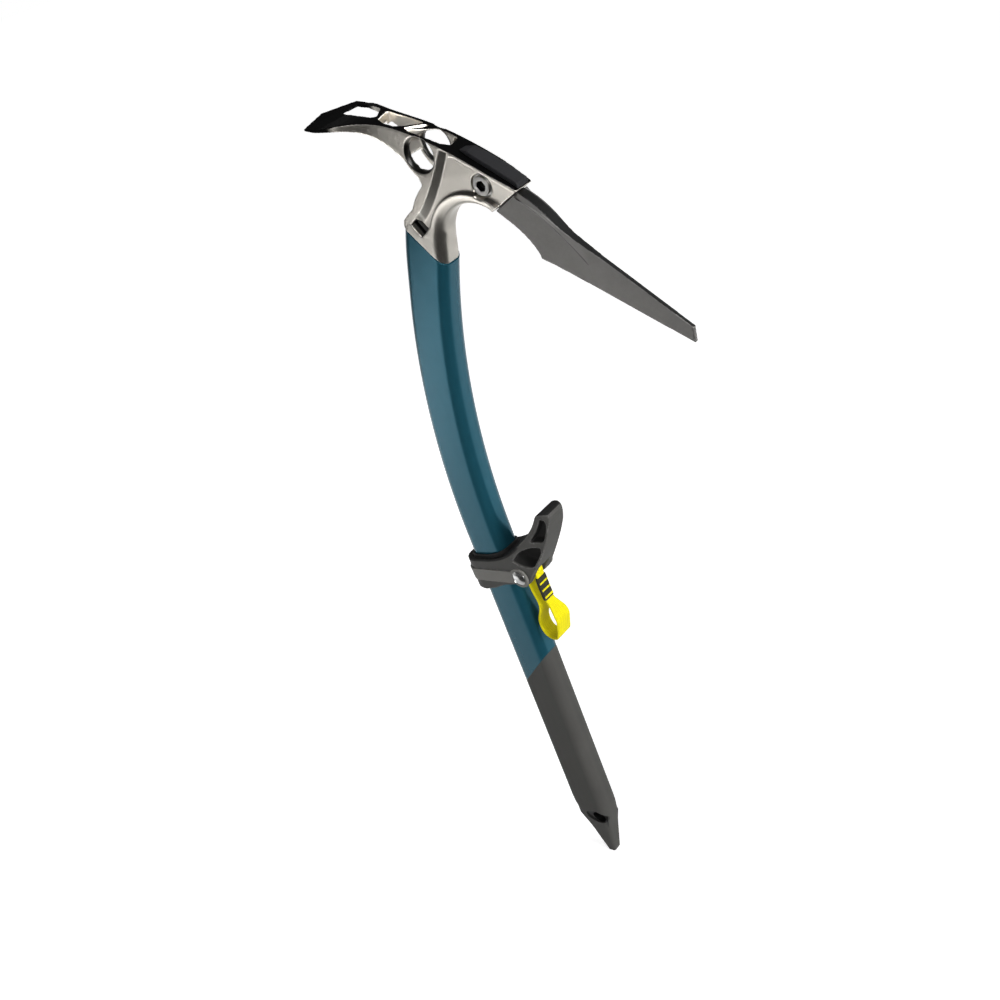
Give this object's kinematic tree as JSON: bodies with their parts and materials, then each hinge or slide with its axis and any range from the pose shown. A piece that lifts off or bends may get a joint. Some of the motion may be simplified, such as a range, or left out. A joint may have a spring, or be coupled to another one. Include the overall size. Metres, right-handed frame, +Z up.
{
  "type": "ice climbing tool",
  "caption": "Technical ice climbing tool with a bent shaft, a hollow forged head carrying an adze and a bolted pick, a sliding finger rest and a webbing loop.",
  "frame": {"origin": "centre of the clip eye through the head's side walls", "axes": "+Z up along the lower shaft, +X towards the pick, +Y across the tool, along the clip eye's axis"},
  "size_m": [0.211, 0.0404, 0.5306],
  "materials": {
    "shaft_blue": "blue anodised, satin",
    "plug_foam": "matte closed-cell foam",
    "grip_rubber": "matte",
    "spike_steel": "satin",
    "pin_steel": "satin",
    "head_metal": "satin, black coated on its top",
    "key_plastic": "matte",
    "cap_plastic": "matte",
    "pick_steel": "satin, dark",
    "bolt_steel": "satin",
    "rest_plastic": "matte",
    "liner_plastic": "matte",
    "strap_plastic": "matte",
    "rivet_steel": "polished",
    "webbing_yellow": "woven",
    "webbing_black": "woven"
  },
  "bodies": {
    "base": {"shaft_tube": "shaft_blue", "shaft_plug": "plug_foam", "grip_sleeve": "grip_rubber", "spike_insert": "spike_steel", "spike_pin": "pin_steel", "head_forging": "head_metal", "head_key": "key_plastic", "head_cap": "cap_plastic", "pick": "pick_steel", "pick_bolt": "bolt_steel", "bolt_washer": "bolt_steel", "pick_nut": "bolt_steel"},
    "trigger": {"trigger_body": "rest_plastic", "trigger_liner": "liner_plastic", "trigger_strap": "strap_plastic", "trigger_axle": "rivet_steel", "trigger_spacer": "pin_steel"},
    "loop": {"webbing_loop": "webbing_yellow", "webbing_keeper": "webbing_black", "bar_tacks": "webbing_yellow"}
  },
  "joints": [
    {"name": "trigger_slide", "type": "slide", "parent": "base", "child": "trigger", "axis": [0, 0, 1], "range_m": [-0.12, 0.012]},
    {"name": "loop_swing", "type": "hinge", "parent": "trigger", "child": "loop", "pos_m": [-0.0397, 0, -0.2584], "axis": [0, 1, 0], "range_deg": [-65, 1.5]}
  ]
}
